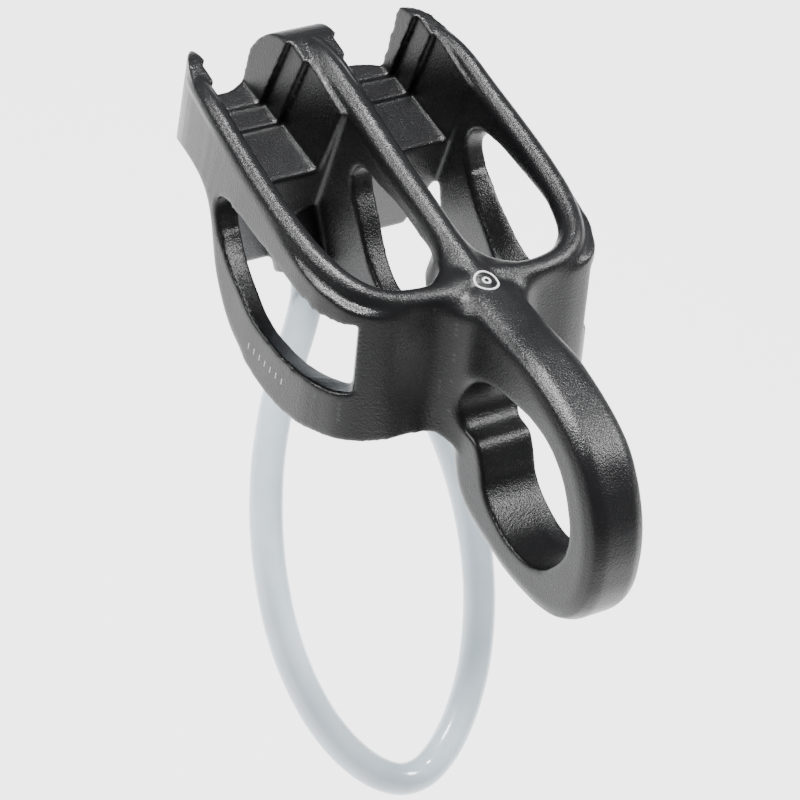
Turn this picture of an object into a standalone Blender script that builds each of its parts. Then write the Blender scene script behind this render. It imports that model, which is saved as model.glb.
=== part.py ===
"""A two-slot rope descender: a forged aluminium body with a guide eye and a cable keeper loop.

Frame: metres, origin at the centre of the guide eye, +X across the three walls,
+Y along the rope slots from the eye to the toothed end, +Z up on the rope side.
"""
from math import cos, radians, sin

import bmesh
import bpy
from mathutils import Matrix, Vector

MM = 0.001

# Driving dimensions, in millimetres.
EYE_THICKNESS = 9.6          # guide eye and neck, along X
EYE_EDGE_RADIUS = 2.2        # rounded outer edge of the eye and neck
CENTRE_WALL = 4.4            # centre wall thickness between the slots
SLOT_FAR_FACE_Y = 60.6       # where the through part of each slot stops
SADDLE_Z = 6.1               # rope saddle between the walls at the far end
GROOVE_YS = (70.8, 74.8)     # friction steps across each saddle
STEP = 0.85                  # how far each friction step stands in
SHOULDER_Z = -3.5            # height at which the near faces hold the plan outline
SHOULDER_LEAN = 0.34         # how far the near faces lean back for each unit of height
LEAN_FULL_Y = 24.7
LEAN_END_Y = 42.4
HORN_Z = 8.0                 # height at which the far faces hold the plan outline
HORN_LEAN = 0.2              # rake of the far faces
FAR_LEAN_Y = 58.0
FAR_FULL_Y = 64.0
SLOT_RIM_Z = 15.0            # height at which the slots hold their plan
RIM_X = 22.0                 # distance from the middle at which the rims' outline holds
RIM_DROP = 1.3               # how the outer walls' lower rims drop toward the slots
RIM_SHIFT = 1.0              # how they move toward the far end meanwhile
WINDOW_Z = 4.0               # height about which the outer windows widen toward the slots
WINDOW_FLARE = 0.1

CABLE_DIAMETER = 4.9
CABLE_BORE = 3.4             # inside of the plastic sheath
WIRE_DIAMETER = 2.8
STRAND_X = 3.2               # half the spacing of the two cable ends
LOOP_ROOT = (0.0, 67.7, 0.0)     # where the loop's plane meets the height of the eye's centre
LOOP_TILT = 43.4             # the loop's plane, degrees from straight down toward the eye
SOCKET_DIAMETER = 6.1
BOSS_RADIUS = 4.6
# Places along the loop's plane, from its root.
SOCKET_START = 3.6
FERRULE_START = 4.0
WIRE_START = 4.4
FERRULE_END = 11.8
BOSS_END = 14.6
HINGE_PLACE = 15.4
SHEATH_START = 13.5
FERRULE_DIAMETER = 5.5


def clear_scene():
    for obj in list(bpy.data.objects):
        bpy.data.objects.remove(obj, do_unlink=True)


def new_collection(name, hidden=False):
    collection = bpy.data.collections.new(name)
    bpy.context.scene.collection.children.link(collection)
    collection.hide_render = hidden
    return collection


def material(name, colour, roughness, metallic):
    made = bpy.data.materials.new(name)
    made.use_nodes = True
    shader = made.node_tree.nodes["Principled BSDF"]
    shader.inputs["Base Color"].default_value = (*colour, 1.0)
    shader.inputs["Roughness"].default_value = roughness
    shader.inputs["Metallic"].default_value = metallic
    return made


# Local X, Y, Z of a flat outline as world axes: a plan lies in XY, a side view in YZ.
PLAN = Matrix.Identity(4)
SIDE = Matrix(((0, 0, 1, 0), (1, 0, 0, 0), (0, 1, 0, 0), (0, 0, 0, 1)))
END = Matrix(((1, 0, 0, 0), (0, 0, -1, 0), (0, 1, 0, 0), (0, 0, 0, 1)))


def as_mesh(curve_object, collection):
    """Turn a curve object into a closed mesh object of the same name, with its mesh in world axes."""
    bpy.context.view_layer.update()
    graph = bpy.context.evaluated_depsgraph_get()
    mesh = bpy.data.meshes.new_from_object(curve_object.evaluated_get(graph))
    shell = bmesh.new()
    shell.from_mesh(mesh)
    bmesh.ops.remove_doubles(shell, verts=shell.verts, dist=0.00001)
    bmesh.ops.recalc_face_normals(shell, faces=shell.faces)
    shell.to_mesh(mesh)
    shell.free()
    mesh.transform(curve_object.matrix_world)
    name = curve_object.name
    bpy.data.objects.remove(curve_object, do_unlink=True)
    made = bpy.data.objects.new(name, mesh)
    collection.objects.link(made)
    return made


def flat_outline(name, outlines, low, high, view, collection, rounding=0.0, resolution=4):
    """A solid between low and high, from closed outlines: the first one is the rim, the rest are holes.

    A point is (u, v), rounded, or (u, v, "corner"), sharp.
    """
    curve = bpy.data.curves.new(name, "CURVE")
    curve.dimensions = "2D"
    curve.fill_mode = "BOTH"
    curve.resolution_u = resolution
    curve.extrude = ((high - low) / 2 - rounding) * MM
    curve.bevel_depth = rounding * MM
    curve.bevel_resolution = 1
    curve.offset = -rounding * MM
    for outline in outlines:
        spline = curve.splines.new("BEZIER")
        spline.bezier_points.add(len(outline) - 1)
        spline.use_cyclic_u = True
        for point, place in zip(spline.bezier_points, outline):
            point.co = (place[0] * MM, place[1] * MM, 0.0)
            kind = "VECTOR" if len(place) == 3 else "AUTO"
            point.handle_left_type = kind
            point.handle_right_type = kind
    solid = bpy.data.objects.new(name, curve)
    solid.matrix_world = view @ Matrix.Translation((0, 0, (low + high) / 2 * MM))
    collection.objects.link(solid)
    return as_mesh(solid, collection)


def mirrored(half):
    """Close a right-hand half outline with its mirror image across X = 0."""
    other = [(-place[0], *place[1:]) for place in reversed(half) if place[0] > 0]
    return half + other


def rod(name, places, radii, collection, sides=4):
    """A round bar through places, with its own radius at each."""
    curve = bpy.data.curves.new(name, "CURVE")
    curve.dimensions = "3D"
    curve.bevel_depth = MM
    curve.bevel_resolution = sides
    curve.use_fill_caps = True
    spline = curve.splines.new("POLY")
    spline.points.add(len(places) - 1)
    for point, place, radius in zip(spline.points, places, radii):
        point.co = (*[value * MM for value in place], 1.0)
        point.radius = radius
    bar = bpy.data.objects.new(name, curve)
    collection.objects.link(bar)
    return bar


def smooth_path(knots, steps):
    """Points along a Catmull-Rom curve through the knots."""
    knots = [Vector(knot) for knot in knots]
    ends = [knots[0] * 2 - knots[1]] + knots + [knots[-1] * 2 - knots[-2]]
    path = []
    for index in range(len(knots) - 1):
        before, start, stop, after = ends[index:index + 4]
        for step in range(steps):
            t = step / steps
            path.append(0.5 * (2 * start + (stop - before) * t
                               + (2 * before - 5 * start + 4 * stop - after) * t ** 2
                               + (3 * start - before - 3 * stop + after) * t ** 3))
    path.append(knots[-1])
    return path


def boolean(target, other, operation, solver="MANIFOLD"):
    """Cut or join two closed solids; the exact solver loses faces where the leaned ones meet."""
    modifier = target.modifiers.new(f"{operation.lower()}_{other.name}", "BOOLEAN")
    modifier.operation = operation
    modifier.object = other
    modifier.solver = solver
    other.display_type = "WIRE"
    other.hide_render = True


# ---------------------------------------------------------------- outlines

# Plan of the body behind the neck, as it is at the height SHOULDER_Z.
HALF_PLAN = [
    (0, 81.2), (4.6, 80.6), (8.6, 78.8), (13.2, 78.6), (17.6, 76.9), (20.7, 72.6), (22.4, 65.4),
    (23.3, 56.5), (23.5, 48.2), (23.6, 40), (23.4, 32.4), (22.6, 26.6), (20.4, 22.1), (16.2, 20.2), (11.2, 19.8),
    (7.5, 19.1), (5.3, 16.7), (4.3, 12.9, "corner"), (0, 12.9, "corner"),
]

# Side view of the whole body behind the neck; its top edge carries the ridge bars.
BODY_SIDE = [
    (10.6, 14.4, "corner"), (32.9, 14.6), (42.9, 15.2), (52.9, 16), (62.9, 16.9),
    (71.8, 18.0), (76.6, 17.9), (79.6, 15.6), (81.2, 11.8), (81.3, 7.6), (80.0, 4), (75.3, 3.0), (71.3, 1.4),
    (68.2, -2.2), (65.4, -6.4), (63, -9.5), (60.4, -10.4), (57.2, -9.7), (53.4, -8.9), (42.4, -8.5),
    (36.9, -8.7), (29.9, -7.6),
    (24, -5.3), (20, -4.2), (15.9, -5.4), (10.6, -5.9, "corner"),
]

# What is cut away under the two outer walls, whose lower rims rise sooner than the end wall does.
# The outline holds RIM_X from the middle, and drops toward it.
RIM_CUT = [
    (40, -14, "corner"), (44, -9.9), (48.8, -8), (53, -5), (55.7, -2.1), (57.5, 0.6), (59.1, 3), (61, 5.1),
    (63.2, 6.5), (67.1, 7.4), (72.9, 7.6), (77.6, 8.2), (84.7, 10, "corner"), (84.7, -30, "corner"),
    (40, -30, "corner"),
]

# It holds RIM_X from the middle too.
OUTER_WINDOW = [
    (21, 7.4), (22, 4.8), (25.2, 2.2), (29.5, 0.4), (34.6, -1.1), (39, -1.6), (43.3, -1.6), (48, 0),
    (52.6, 2.2), (56, 5), (58, 8), (57.4, 9.9), (54, 11.2), (48, 11.7), (37.2, 11.9), (31.5, 11.6),
    (26.2, 10.8), (22.6, 9.6),
]

# Plan of the room behind an outer window; its near side follows the curve of the wall round the shoulder.
WINDOW_REACH = [
    (28, 10, "corner"), (20.4, 20.8, "corner"), (18.2, 24.0, "corner"), (15.5, 28.0, "corner"),
    (15.5, 60.2, "corner"), (28, 60.2, "corner"),
]

CENTRE_WINDOW = [
    (28.6, 7.8), (29.4, 3.4), (32.6, 0), (37.0, -1.9), (42, -2.1), (47.5, 0.2), (51.8, 4.0),
    (56, 8.9), (55.3, 11.2), (50, 12.2), (42.9, 12.6), (34, 12.3), (30.2, 11.2),
]

RIGHT_SLOT = [
    (CENTRE_WALL / 2, SLOT_FAR_FACE_Y, "corner"), (CENTRE_WALL / 2, 37.6), (3.2, 33.2), (6.4, 30.2),
    (11.1, 29.6), (15.5, 31.4), (18.4, 36.5), (19.5, 44.7), (19.6, 54.1), (19.3, SLOT_FAR_FACE_Y, "corner"),
]

EYE_RIM = [
    (25.9, 16, "corner"), (17.6, 16.5), (10.6, 17.1), (5.9, 16.8), (1.5, 16.1), (-1.6, 15.3), (-4.6, 14.1),
    (-7.4, 12.1), (-10.6, 8.8), (-13.2, 4.7), (-14.8, 0), (-15.3, -3.8), (-14.5, -7.6), (-12.1, -10.9),
    (-8.8, -12.8), (-5.2, -13.8), (0.2, -14.4), (4.7, -14.1), (9.8, -13.5), (12.8, -12.5), (15.1, -10.8),
    (16.6, -8.9), (17.9, -7.2), (20.6, -6.5), (25.9, -6.5, "corner"),
]

EYE_HOLE = [
    (-8.5, 0.9), (-7.5, -4.2), (-5.1, -7.3), (-0.9, -8.8), (4.1, -8.5), (8.7, -6.4), (11.1, -3.4),
    (13.2, -1.5), (16, -1.4), (18.1, 0.5), (18.6, 3.3), (17.2, 6.4), (13.6, 8.7), (8.8, 10.5),
    (3.8, 11.1), (-0.9, 9.9), (-5.4, 6.4),
]

# The flat between the two slots' near ends.
BRIDGE = [(0, 37.6), (1.8, 35.8), (3.8, 32), (7.3, 28.9), (7.1, 26.6), (4.7, 24.7), (0, 24.2)]

# Ridge bars: x, y, height of the top of the bar, radius.
OUTER_RIDGE = [
    (19.9, 73.6, 17.6, 1.2), (20.5, 71.5, 18.2, 1.4), (21.0, 68.5, 18.6, 1.5), (21.3, 64.9, 18.6, 1.6),
    (21.4, 58.8, 18.1, 1.8),
    (21.6, 51.8, 17.6, 1.9), (21.5, 44.7, 17.2, 1.9), (20.8, 37.6, 16.8, 1.9), (18.7, 31.8, 16.5, 1.9),
    (15.1, 28.7, 16.2, 1.9), (10.4, 27.5, 16.2, 1.9), (5.9, 27.5, 16.2, 2), (2.1, 28.7, 16.2, 2.1),
]
CENTRE_RIDGE = [
    (0, 75.6, 17.9, 2), (0, 73, 18.8, 2.1), (0, 70, 19.1, 2.1), (0, 65.9, 18.9, 2.2), (0, 58.8, 18.4, 2.2),
    (0, 51.8, 17.6, 2.2), (0, 44.7, 17.1, 2.2), (0, 37.6, 16.6, 2.2), (0, 31.8, 16.4, 2.5), (0, 25.9, 16.2, 2.8),
    (0, 20, 16.2, 3.1),
]


# One side of the keeper loop: place along the loop's plane, and distance from the middle.
HALF_LOOP = [
    (18.8, 3.7), (23.5, 6.1), (30.6, 10.6), (36.3, 13.3), (42.4, 15.5), (50, 17.2), (57.6, 17.9),
    (65, 17.7), (72, 16.5), (79, 14.2), (85, 10.9), (89.5, 7.1), (92.2, 3.2),
]
LOOP_APEX = 92.9


def ridge_bar(name, ridge, side, collection):
    knots = [(side * x, y, top - radius, radius) for x, y, top, radius in ridge]
    path = smooth_path([knot[:3] for knot in knots], 3)
    widths = smooth_path([(knot[3], 0, 0) for knot in knots], 3)
    bar = rod(name, path, [width.x for width in widths], collection)
    return as_mesh(bar, collection)


def channel(name, side, near, far, inner, outer, floor, collection):
    """The open rope channel between two walls: a wedge that widens upward, from near to far along Y."""
    outline = [
        (side * inner[0], floor, "corner"), (side * outer[0], floor, "corner"),
        (side * outer[1], 21, "corner"), (side * inner[1], 21, "corner"),
    ]
    return flat_outline(name, [outline], -far, -near, END, collection)


def ramp(value, start, stop):
    """0 at start, 1 at stop, and even between them."""
    return min(1.0, max(0.0, (value - start) / (stop - start)))


def lean(solid, near_level, far_level, far_lean):
    """Lean an upright solid's near faces back from the eye, and its far faces by far_lean.

    The near faces hold their plan at the height near_level, the far ones at far_level.
    """
    for vertex in solid.data.vertices:
        y = vertex.co.y / MM
        z = vertex.co.z / MM
        near_shift = SHOULDER_LEAN * ramp(y, LEAN_END_Y, LEAN_FULL_Y) * (z - near_level)
        far_shift = far_lean * ramp(y, FAR_LEAN_Y, FAR_FULL_Y) * (z - far_level)
        vertex.co.y += (near_shift + far_shift) * MM
    triangulate(solid)


def slope_rim(solid):
    """Let the cut under an outer wall drop, and move to the far end, toward the middle of the body."""
    for vertex in solid.data.vertices:
        inward = RIM_X * MM - abs(vertex.co.x)
        vertex.co.y += RIM_SHIFT * inward
        vertex.co.z -= RIM_DROP * inward
    triangulate(solid)


def flare_window(solid):
    """Widen a window's height toward the middle of the body."""
    for vertex in solid.data.vertices:
        inward = RIM_X - abs(vertex.co.x) / MM
        vertex.co.z += WINDOW_FLARE * inward * (vertex.co.z - WINDOW_Z * MM)
    triangulate(solid)


def triangulate(solid):
    shell = bmesh.new()
    shell.from_mesh(solid.data)
    bmesh.ops.triangulate(shell, faces=shell.faces)
    shell.to_mesh(solid.data)
    shell.free()


# ---------------------------------------------------------------- pieces

def loop_point(place, x=0.0):
    """A point in the keeper loop's plane, in millimetres."""
    tilt = radians(LOOP_TILT)
    return (x, LOOP_ROOT[1] - place * sin(tilt), LOOP_ROOT[2] - place * cos(tilt))


def strand_bar(name, x, start, stop, diameter, collection, sides=4):
    """A straight round bar along one strand of the keeper loop."""
    ends = [loop_point(start, x), loop_point(stop, x)]
    return as_mesh(rod(name, ends, [diameter / 2] * 2, collection, sides), collection)


def loop_bar(name, diameter, start, collection, sides):
    """A round bar along the whole keeper loop, from one end to the other."""
    half = [(start, STRAND_X), (HINGE_PLACE, STRAND_X)] + HALF_LOOP
    knots = [loop_point(place, x) for place, x in half] + [loop_point(LOOP_APEX)]
    knots += [loop_point(place, -x) for place, x in reversed(half)]
    path = smooth_path(knots, 2)
    return as_mesh(rod(name, path, [diameter / 2] * len(path), collection, sides), collection)


def hang_on_hinge(piece):
    """Move a piece's origin onto the keeper loop's hinge, and leave its shape where it is."""
    hinge = Vector(loop_point(HINGE_PLACE)) * MM
    piece.data.transform(Matrix.Translation(-hinge))
    piece.location = hinge


def make_body(parts, cutters, skin):
    body = flat_outline("body", [mirrored(HALF_PLAN)], -19, 21, PLAN, parts)
    lean(body, SHOULDER_Z, HORN_Z, HORN_LEAN)
    side = flat_outline("side_view", [BODY_SIDE], -25, 25, SIDE, cutters)
    boolean(body, side, "INTERSECT")
    for side_sign, word in ((1, "right"), (-1, "left")):
        low = min(side_sign * 14, side_sign * 28)
        rim = flat_outline(f"{word}_rim_cut", [RIM_CUT], low, low + 14, SIDE, cutters)
        slope_rim(rim)
        boolean(body, rim, "DIFFERENCE")
        slot_plan = [(side_sign * place[0], *place[1:]) for place in RIGHT_SLOT]
        slot = flat_outline(f"{word}_slot", [slot_plan], -24, 24, PLAN, cutters)
        lean(slot, SLOT_RIM_Z, SLOT_RIM_Z, 0)
        boolean(body, slot, "DIFFERENCE")
        for index, far in enumerate((*GROOVE_YS, 88)):
            step = index * STEP
            tooth = channel(f"{word}_channel_{index + 1}", side_sign, SLOT_FAR_FACE_Y - 0.5 - step, far,
                            (4.0 + step, 2.5 + 0.8 * step), (18.7 - step, 19.4 - 0.8 * step),
                            SADDLE_Z + 0.5 * step, cutters)
            boolean(body, tooth, "DIFFERENCE")
        window = flat_outline(f"{word}_window", [OUTER_WINDOW], low, low + 14, SIDE, cutters)
        flare_window(window)
        reach_plan = [(side_sign * place[0], *place[1:]) for place in WINDOW_REACH]
        reach = flat_outline(f"{word}_window_reach", [reach_plan], -8, 14.2, PLAN, cutters)
        lean(reach, SHOULDER_Z, HORN_Z, 0)
        boolean(window, reach, "INTERSECT")
        boolean(body, window, "DIFFERENCE")
    window = flat_outline("centre_window", [CENTRE_WINDOW], -8, 8, SIDE, cutters)
    boolean(body, window, "DIFFERENCE")
    for name, ridge, side_sign in (("centre_ridge", CENTRE_RIDGE, 1), ("right_ridge", OUTER_RIDGE, 1),
                                   ("left_ridge", OUTER_RIDGE, -1)):
        boolean(body, ridge_bar(name, ridge, side_sign, cutters), "UNION")
    bridge = flat_outline("bridge", [mirrored(BRIDGE)], 7, 15.3, PLAN, cutters)
    boolean(body, bridge, "UNION")
    for side_sign, word in ((1, "right"), (-1, "left")):
        boss = strand_bar(f"{word}_boss", side_sign * STRAND_X, 1, BOSS_END, 2 * BOSS_RADIUS, cutters, 6)
        boolean(body, boss, "UNION")
    for side_sign, word in ((1, "right"), (-1, "left")):
        socket = strand_bar(f"{word}_socket", side_sign * STRAND_X, SOCKET_START, 25, SOCKET_DIAMETER, cutters)
        boolean(body, socket, "DIFFERENCE")
    neck = flat_outline("neck", [EYE_RIM], -EYE_THICKNESS / 2, EYE_THICKNESS / 2, SIDE, cutters,
                        rounding=EYE_EDGE_RADIUS, resolution=3)
    boolean(body, neck, "UNION")
    hole = flat_outline("eye_hole", [EYE_HOLE], -10, 10, SIDE, cutters)
    boolean(body, hole, "DIFFERENCE")
    body.data.materials.append(skin)
    return body


def make_ferrule(name, x, parts, cutters, metal):
    ferrule = strand_bar(name, x, FERRULE_START, FERRULE_END, FERRULE_DIAMETER, parts)
    bore = strand_bar(f"{name}_bore", x, FERRULE_START - 1, FERRULE_END + 1, CABLE_BORE, cutters)
    boolean(ferrule, bore, "DIFFERENCE")
    ferrule.data.materials.append(metal)


def make_wire_end(name, x, parts, metal):
    wire = strand_bar(name, x, WIRE_START, FERRULE_END, WIRE_DIAMETER, parts)
    wire.data.materials.append(metal)


def make_keeper_loop(parts, cutters, plastic, metal):
    """The plastic-coated wire that bends at the sockets."""
    sheath = loop_bar("cable_sheath", CABLE_DIAMETER, SHEATH_START, parts, 4)
    bore = loop_bar("cable_bore", CABLE_BORE, SHEATH_START - 1, cutters, 3)
    boolean(sheath, bore, "DIFFERENCE")
    sheath.data.materials.append(plastic)
    core = loop_bar("wire_core", WIRE_DIAMETER, SHEATH_START, parts, 3)
    core.data.materials.append(metal)
    for piece in (sheath, bore, core):
        hang_on_hinge(piece)


def main():
    clear_scene()
    parts = new_collection("rope_descender")
    cutters = new_collection("cutters", hidden=True)
    black = material("black_anodised", (0.02, 0.02, 0.022), 0.45, 0.85)
    plastic = material("clear_plastic_coating", (0.62, 0.68, 0.74), 0.25, 0.0)
    wire = material("galvanised_wire", (0.55, 0.56, 0.58), 0.4, 0.9)
    swage = material("swaged_aluminium", (0.7, 0.71, 0.72), 0.35, 0.9)
    make_body(parts, cutters, black)
    for side_sign, word in ((1, "right"), (-1, "left")):
        make_ferrule(f"ferrule_{word}", side_sign * STRAND_X, parts, cutters, swage)
        make_wire_end(f"wire_end_{word}", side_sign * STRAND_X, parts, wire)
    make_keeper_loop(parts, cutters, plastic, wire)


main()
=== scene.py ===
"""The looks of the rope descender: a forged, black anodised body and a glossy coated-cable keeper loop."""
from math import cos, pi, radians, sin

import bmesh
import bpy
import numpy as np
from mathutils import Matrix, Vector
from mathutils.bvhtree import BVHTree


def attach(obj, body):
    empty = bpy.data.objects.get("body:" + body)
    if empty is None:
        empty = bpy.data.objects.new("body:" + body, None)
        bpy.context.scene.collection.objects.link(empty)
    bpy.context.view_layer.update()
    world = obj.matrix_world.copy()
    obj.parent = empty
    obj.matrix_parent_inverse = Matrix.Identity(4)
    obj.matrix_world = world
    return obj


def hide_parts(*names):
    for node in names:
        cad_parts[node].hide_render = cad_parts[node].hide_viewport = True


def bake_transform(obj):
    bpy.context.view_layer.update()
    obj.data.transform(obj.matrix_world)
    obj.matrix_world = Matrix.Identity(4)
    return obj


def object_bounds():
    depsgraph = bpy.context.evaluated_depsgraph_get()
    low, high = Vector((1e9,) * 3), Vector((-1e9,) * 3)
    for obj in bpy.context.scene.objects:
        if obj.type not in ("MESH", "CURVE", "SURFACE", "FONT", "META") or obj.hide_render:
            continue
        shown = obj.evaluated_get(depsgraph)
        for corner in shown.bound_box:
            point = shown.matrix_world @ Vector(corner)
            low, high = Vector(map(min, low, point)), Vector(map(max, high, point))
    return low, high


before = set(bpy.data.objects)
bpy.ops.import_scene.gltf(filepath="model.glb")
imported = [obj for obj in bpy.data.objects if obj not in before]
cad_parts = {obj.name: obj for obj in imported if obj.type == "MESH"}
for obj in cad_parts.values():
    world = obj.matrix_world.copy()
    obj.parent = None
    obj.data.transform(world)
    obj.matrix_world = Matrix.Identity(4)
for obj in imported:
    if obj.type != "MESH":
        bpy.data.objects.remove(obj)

MM = 0.001
CAD_BOX = [list(corner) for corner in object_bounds()]

# Camera: what it looks at, and from where.
AIM = (-0.0144, 0.0203, 0.0034)
CAMERA_DISTANCE = 0.473
CAMERA_AZIMUTH = -137.1
CAMERA_ELEVATION = 43.65
CAMERA_ROLL = 20.94
CAMERA_LENS = 157.5
SENSOR_WIDTH = 36.0

# Keeper loop, as in the CAD.
CABLE_DIAMETER = 4.9
STRAND_X = 3.2
LOOP_ROOT_Y = 67.7
LOOP_TILT = 43.4
HINGE_PLACE = 15.4
SHEATH_START = 13.5
HALF_LOOP = [
    (18.8, 3.7), (23.5, 6.1), (30.6, 10.6), (36.3, 13.3), (42.4, 15.5), (50, 17.2), (57.6, 17.9),
    (65, 17.7), (72, 16.5), (79, 14.2), (85, 10.9), (89.5, 7.1), (92.2, 3.2),
]
LOOP_APEX = 92.9

# Body surface.
VOXEL = 0.26                 # remesh size
SMOOTH_ROUNDS = 30
NECK_ROUNDS = 150            # extra smoothing where the neck, the shoulders and the ridges run together
SMOOTH_IN = 0.6              # one round moves each point this share of the way to its neighbours' mean
SMOOTH_OUT = -0.42           # and then back out by this share
TEETH_SHARE = 0.22           # how much of the smoothing the stepped channels get
TEETH_START = 0.061          # where the channels begin, in metres along Y
TEETH_FADE = 0.004

# Stage, in metres.
FLOOR_SIZE = 6.0
FLOOR_DROP = 0.11            # how far the floor lies below the keeper loop
LIGHT_AIM = (0.0, 0.035, 0.0)

# Etched marks.
MARK_PROBE = 8               # a mark is cast onto the body from this far out
MARK_SINK = 0.36             # how much of a line's width lies under the surface
RING_RADII = (1.7, 0.5)
BRIDGE_MARK_PLACE = (0, 26.6, 16)
BRIDGE_MARK_WIDTH = 0.5
RIM_MARK_PLACE = (22, 38, -4.4)
RIM_MARK_WIDTH = 0.28
DASH_STEP = 1.4
DASH_HALF = 0.5
DASHES_EACH_SIDE = 3


# ---------------------------------------------------------------- materials

def new_material(name):
    made = bpy.data.materials.new(name)
    made.use_nodes = True
    return made, made.node_tree, made.node_tree.nodes["Principled BSDF"]


def add_node(tree, kind, **settings):
    node = tree.nodes.new(kind)
    for key, value in settings.items():
        setattr(node, key, value)
    return node


def noise(tree, scale, detail=3.0, roughness=0.6):
    """Noise over the object's own coordinates; scale is per metre."""
    place = add_node(tree, "ShaderNodeTexCoord")
    texture = add_node(tree, "ShaderNodeTexNoise")
    texture.inputs["Scale"].default_value = scale
    texture.inputs["Detail"].default_value = detail
    texture.inputs["Roughness"].default_value = roughness
    tree.links.new(place.outputs["Object"], texture.inputs["Vector"])
    return texture.outputs["Fac"]


def spread(tree, value, low, high, start=0.3, stop=0.7):
    """Map a noise value onto low to high."""
    mapped = add_node(tree, "ShaderNodeMapRange")
    mapped.inputs["From Min"].default_value = start
    mapped.inputs["From Max"].default_value = stop
    mapped.inputs["To Min"].default_value = low
    mapped.inputs["To Max"].default_value = high
    tree.links.new(value, mapped.inputs["Value"])
    return mapped.outputs["Result"]


def bump(tree, value, strength, distance, below=None):
    node = add_node(tree, "ShaderNodeBump")
    node.inputs["Strength"].default_value = strength
    node.inputs["Distance"].default_value = distance
    tree.links.new(value, node.inputs["Height"])
    if below is not None:
        tree.links.new(below, node.inputs["Normal"])
    return node.outputs["Normal"]


def mix_colour(tree, value, dark, light):
    mixed = add_node(tree, "ShaderNodeMix", data_type="RGBA")
    mixed.inputs["A"].default_value = (*dark, 1.0)
    mixed.inputs["B"].default_value = (*light, 1.0)
    tree.links.new(value, mixed.inputs["Factor"])
    return mixed.outputs["Result"]


def anodised_black():
    """Black anodising over a blasted forging: a fine sparkling grain, and a colour a little paler on the
    sharp convex edges.
    """
    made, tree, shader = new_material("black_anodised")
    grain = noise(tree, 3600, 2.0, 0.7)
    patches = noise(tree, 160, 4.0)
    edges = add_node(tree, "ShaderNodeNewGeometry")
    # colour a little paler where the surface is sharply convex, along the ridges and rims
    paler_edges = spread(tree, edges.outputs["Pointiness"], 0.0, 1.0, 0.53, 0.62)
    base = mix_colour(tree, paler_edges, (0.0035, 0.0035, 0.004), (0.02, 0.02, 0.021))
    tree.links.new(base, shader.inputs["Base Color"])
    shader.inputs["Metallic"].default_value = 0.0
    shader.inputs["Specular IOR Level"].default_value = 0.38
    rough = spread(tree, patches, 0.27, 0.34)
    tree.links.new(rough, shader.inputs["Roughness"])
    coarse = bump(tree, patches, 0.02, 0.0001)
    normal = bump(tree, grain, 0.9, 0.00008, coarse)
    tree.links.new(normal, shader.inputs["Normal"])
    return made


def clear_coating():
    """The loop's smooth pale plastic sheath, with the wire's lay just showing through it."""
    made, tree, shader = new_material("clear_plastic_coating")
    cloud = noise(tree, 70, 3.0)
    base = mix_colour(tree, spread(tree, cloud, 0.0, 1.0), (0.46, 0.55, 0.63), (0.6, 0.68, 0.74))
    tree.links.new(base, shader.inputs["Base Color"])
    tree.links.new(spread(tree, cloud, 0.16, 0.26), shader.inputs["Roughness"])
    shader.inputs["Subsurface Weight"].default_value = 0.25
    shader.inputs["Subsurface Radius"].default_value = (0.002, 0.002, 0.002)
    shader.inputs["Coat Weight"].default_value = 0.5
    shader.inputs["Coat Roughness"].default_value = 0.08
    ripple = noise(tree, 420, 2.0)
    tree.links.new(bump(tree, ripple, 0.08, 0.0002), shader.inputs["Normal"])
    return made


def bare_metal(name, colour, roughness, scale):
    made, tree, shader = new_material(name)
    grain = noise(tree, scale, 4.0)
    darker = tuple(0.75 * part for part in colour)
    base = mix_colour(tree, spread(tree, grain, 0.0, 1.0), darker, colour)
    tree.links.new(base, shader.inputs["Base Color"])
    tree.links.new(spread(tree, grain, roughness - 0.08, roughness + 0.08), shader.inputs["Roughness"])
    shader.inputs["Metallic"].default_value = 1.0
    tree.links.new(bump(tree, grain, 0.2, 0.0001), shader.inputs["Normal"])
    return made


def plain_floor():
    made, tree, shader = new_material("pale_floor")
    cloud = noise(tree, 3, 2.0)
    base = mix_colour(tree, spread(tree, cloud, 0.0, 1.0), (0.93, 0.93, 0.93), (0.95, 0.95, 0.95))
    tree.links.new(base, shader.inputs["Base Color"])
    shader.inputs["Roughness"].default_value = 0.9
    shader.inputs["Emission Color"].default_value = (1.0, 1.0, 1.0, 1.0)
    shader.inputs["Emission Strength"].default_value = 0.95
    tree.links.new(bump(tree, cloud, 0.02, 0.001), shader.inputs["Normal"])
    return made


def pale_ink():
    """Pale grey laser-etched marks."""
    made, tree, shader = new_material("etched_mark")
    grain = noise(tree, 2200, 2.0)
    base = mix_colour(tree, spread(tree, grain, 0.0, 1.0), (0.42, 0.42, 0.42), (0.6, 0.6, 0.6))
    tree.links.new(base, shader.inputs["Base Color"])
    shader.inputs["Roughness"].default_value = 0.7
    tree.links.new(bump(tree, grain, 0.3, 0.00003), shader.inputs["Normal"])
    return made


def dress(piece, made):
    piece.data.materials.clear()
    piece.data.materials.append(made)


# ---------------------------------------------------------------- stage

def look_from(distance, azimuth, elevation, roll, aim):
    """A camera's place, looking at aim."""
    azimuth, elevation = radians(azimuth), radians(elevation)
    back = Vector((cos(azimuth) * cos(elevation), sin(azimuth) * cos(elevation), sin(elevation)))
    turn = back.to_track_quat("Z", "Y").to_matrix().to_4x4()
    return Matrix.Translation(Vector(aim) + back * distance) @ turn @ Matrix.Rotation(radians(roll), 4, "Z")


def make_camera():
    data = bpy.data.cameras.new("camera")
    data.lens = CAMERA_LENS
    data.sensor_width = SENSOR_WIDTH
    data.clip_start = 0.01
    camera = bpy.data.objects.new("camera", data)
    camera.matrix_world = look_from(CAMERA_DISTANCE, CAMERA_AZIMUTH, CAMERA_ELEVATION, CAMERA_ROLL, AIM)
    bpy.context.scene.collection.objects.link(camera)
    bpy.context.scene.camera = camera


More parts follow.
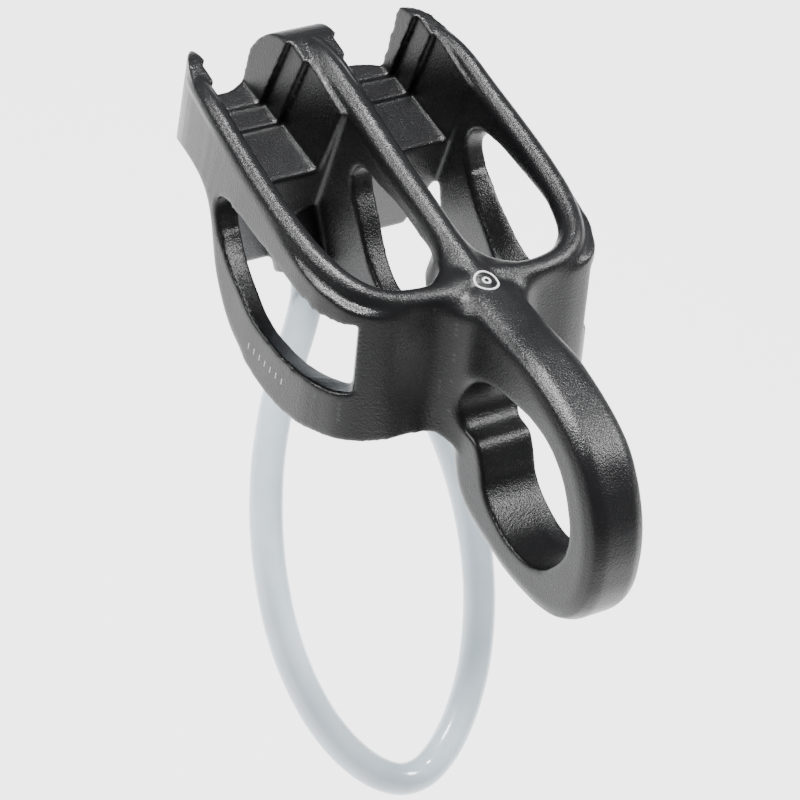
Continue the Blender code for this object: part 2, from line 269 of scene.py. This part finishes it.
def soft_light(name, place, size, power):
    data = bpy.data.lights.new(name, "AREA")
    data.shape = "DISK"
    data.size = size
    data.energy = power
    light = bpy.data.objects.new(name, data)
    light.location = place
    aim = Vector(LIGHT_AIM) - Vector(place)
    light.rotation_euler = aim.to_track_quat("-Z", "Y").to_euler()
    bpy.context.scene.collection.objects.link(light)


def make_stage(lowest):
    bpy.ops.mesh.primitive_plane_add(size=FLOOR_SIZE, location=(0, 0, lowest - FLOOR_DROP))
    floor = bpy.context.object
    floor.name = "floor"
    dress(floor, plain_floor())
    world = bpy.data.worlds.new("studio")
    world.use_nodes = True
    background = world.node_tree.nodes["Background"]
    background.inputs["Color"].default_value = (0.95, 0.97, 1.0, 1.0)
    background.inputs["Strength"].default_value = 0.32
    bpy.context.scene.world = world
    soft_light("overhead", (0.05, 0.2, 0.75), 0.14, 15.0)
    soft_light("key", (-0.5, 0.35, 0.65), 0.2, 8.0)
    soft_light("rim", (0.5, -0.1, 0.5), 0.2, 6.0)


# ---------------------------------------------------------------- keeper loop

def loop_point(place, x=0.0):
    """A point in the keeper loop's plane, in metres."""
    tilt = radians(LOOP_TILT)
    return Vector((x, LOOP_ROOT_Y - place * sin(tilt), -place * cos(tilt))) * MM


def smooth_path(knots, steps):
    """Points along a Catmull-Rom curve through the knots."""
    ends = [knots[0] * 2 - knots[1]] + knots + [knots[-1] * 2 - knots[-2]]
    path = []
    for index in range(len(knots) - 1):
        before, start, stop, after = ends[index:index + 4]
        for step in range(steps):
            t = step / steps
            path.append(0.5 * (2 * start + (stop - before) * t
                               + (2 * before - 5 * start + 4 * stop - after) * t ** 2
                               + (3 * start - before - 3 * stop + after) * t ** 3))
    path.append(knots[-1])
    return path


def tube_along(name, path, radius, sides):
    """A closed tube whose rings stand square to the path, which lies in the keeper loop's plane."""
    tilt = radians(LOOP_TILT)
    across = Vector((0.0, cos(tilt), -sin(tilt)))
    shell = bmesh.new()
    rings = []
    for index, point in enumerate(path):
        ahead = path[min(index + 1, len(path) - 1)] - path[max(index - 1, 0)]
        beside = ahead.normalized().cross(across)
        rings.append([shell.verts.new(point + radius * (cos(angle) * beside + sin(angle) * across))
                      for angle in (2 * pi * turn / sides for turn in range(sides))])
    for first, second in zip(rings, rings[1:]):
        for turn in range(sides):
            after = (turn + 1) % sides
            shell.faces.new((first[turn], first[after], second[after], second[turn]))
    shell.faces.new(rings[0])
    shell.faces.new(rings[-1])
    bmesh.ops.recalc_face_normals(shell, faces=shell.faces)
    mesh = bpy.data.meshes.new(name)
    shell.to_mesh(mesh)
    shell.free()
    for face in mesh.polygons:
        face.use_smooth = len(face.vertices) == 4
    piece = bpy.data.objects.new(name, mesh)
    bpy.context.scene.collection.objects.link(piece)
    return piece


def make_keeper_loop():
    half = [(SHEATH_START, STRAND_X), (HINGE_PLACE, STRAND_X)] + HALF_LOOP
    knots = [loop_point(place, x) for place, x in half] + [loop_point(LOOP_APEX)]
    knots += [loop_point(place, -x) for place, x in reversed(half)]
    path = smooth_path(knots, 8)
    cable = tube_along("keeper_loop", path, CABLE_DIAMETER / 2 * MM, 32)
    dress(cable, clear_coating())
    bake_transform(cable)
    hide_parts("cable_sheath", "wire_core")


# ---------------------------------------------------------------- body

def smooth_mesh(mesh, rounds, share):
    """Smoothing that goes in and out by turns, so that nothing shrinks; share gives each point's part."""
    count = len(mesh.vertices)
    points = np.empty(count * 3)
    mesh.vertices.foreach_get("co", points)
    points = points.reshape(-1, 3)
    edges = np.empty(len(mesh.edges) * 2, dtype=np.int64)
    mesh.edges.foreach_get("vertices", edges)
    edges = edges.reshape(-1, 2)
    both = np.concatenate([edges, edges[:, ::-1]])
    degree = np.bincount(both[:, 0], minlength=count)[:, None]
    weight = share(points)[:, None]
    for turn in range(2 * rounds):
        factor = SMOOTH_IN if turn % 2 == 0 else SMOOTH_OUT
        mean = np.stack([np.bincount(both[:, 0], points[both[:, 1], axis], count) for axis in range(3)], 1)
        points = points + factor * weight * (mean / degree - points)
    mesh.vertices.foreach_set("co", points.ravel())
    mesh.update()


def body_share(points):
    """Full smoothing on the forged ribs and shoulders, little on the stepped channels."""
    far = np.clip((points[:, 1] - TEETH_START) / TEETH_FADE, 0, 1)
    return 1.0 - (1.0 - TEETH_SHARE) * far


def neck_share(points):
    """Full smoothing round the root of the neck, fading out toward the eye, the slots and the windows."""
    across, along, height = np.abs(points.T[0]), points.T[1], points.T[2]
    near = np.clip((along - 0.010) / 0.006, 0, 1) * np.clip((0.040 - along) / 0.008, 0, 1)
    middle = np.clip((0.019 - across) / 0.006, 0, 1)
    upper = np.clip((height + 0.002) / 0.006, 0, 1)
    return near * middle * upper


def make_body():
    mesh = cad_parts["body"].data.copy()
    mesh.name = "forged_body"
    forging = bpy.data.objects.new("forged_body", mesh)
    bpy.context.scene.collection.objects.link(forging)
    remesh = forging.modifiers.new("remesh", "REMESH")
    remesh.mode = "VOXEL"
    remesh.voxel_size = VOXEL * MM
    remesh.use_smooth_shade = True
    graph = bpy.context.evaluated_depsgraph_get()
    smooth = bpy.data.meshes.new_from_object(forging.evaluated_get(graph))
    forging.modifiers.clear()
    forging.data = smooth
    smooth_mesh(smooth, SMOOTH_ROUNDS, body_share)
    smooth_mesh(smooth, NECK_ROUNDS, neck_share)
    for face in smooth.polygons:
        face.use_smooth = True
    dress(forging, anodised_black())
    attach(forging, "body")
    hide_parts("body")
    return forging


def etched_lines(name, tree, strokes, centre, facing, up, width):
    """Thin raised lines cast onto the body; a stroke lists (right, up) places round centre."""
    facing = Vector(facing).normalized()
    right = Vector(up).cross(facing).normalized()
    upward = facing.cross(right)
    start = (Vector(centre) + facing * MARK_PROBE) * MM
    curve = bpy.data.curves.new(name, "CURVE")
    curve.dimensions = "3D"
    curve.bevel_depth = width / 2 * MM
    curve.bevel_resolution = 2
    curve.use_fill_caps = True
    for stroke in strokes:
        places = [tree.ray_cast(start + (u * right + v * upward) * MM, -facing) for u, v in stroke]
        spline = curve.splines.new("POLY")
        spline.points.add(len(places) - 1)
        for point, (place, normal, _, _) in zip(spline.points, places):
            point.co = (*(place - normal * MARK_SINK * width * MM), 1.0)
    outline = bpy.data.objects.new(name, curve)
    bpy.context.scene.collection.objects.link(outline)
    graph = bpy.context.evaluated_depsgraph_get()
    mesh = bpy.data.meshes.new_from_object(outline.evaluated_get(graph))
    bpy.data.objects.remove(outline)
    mark = bpy.data.objects.new(name, mesh)
    bpy.context.scene.collection.objects.link(mark)
    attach(mark, "body")
    return mark


def arc(middle, radius, start, stop, points):
    """Places on an arc, in degrees."""
    turns = [radians(start + (stop - start) * index / (points - 1)) for index in range(points)]
    return [(middle[0] + radius * cos(turn), middle[1] + radius * sin(turn)) for turn in turns]


def make_marks(forging):
    """Plain marks of no meaning, where the real body carries its printed ones."""
    tree = BVHTree.FromObject(forging, bpy.context.evaluated_depsgraph_get())
    ink = pale_ink()
    ring = [arc((0, 0), radius, 0, 360, points) for radius, points in zip(RING_RADII, (33, 13))]
    marks = [etched_lines("bridge_mark", tree, ring, BRIDGE_MARK_PLACE,
                          (0, 0, 1), (0, 1, 0), BRIDGE_MARK_WIDTH)]
    dashes = [[(DASH_STEP * step, -DASH_HALF), (DASH_STEP * step, DASH_HALF)]
              for step in range(-DASHES_EACH_SIDE, DASHES_EACH_SIDE + 1)]
    across, along, height = RIM_MARK_PLACE
    for side, word in ((-1, "left"), (1, "right")):
        marks.append(etched_lines(f"{word}_rim_mark", tree, dashes, (side * across, along, height),
                                  (side, 0, 0), (0, 0.15, 1), RIM_MARK_WIDTH))
    for mark in marks:
        dress(mark, ink)


def main():
    make_camera()
    make_keeper_loop()
    make_stage(CAD_BOX[0][2])
    make_marks(make_body())
    wire = bare_metal("galvanised_wire", (0.55, 0.56, 0.58), 0.4, 1500)
    swage = bare_metal("swaged_aluminium", (0.7, 0.71, 0.72), 0.35, 900)
    for side in ("left", "right"):
        dress(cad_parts[f"wire_end_{side}"], wire)
        dress(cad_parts[f"ferrule_{side}"], swage)


main()
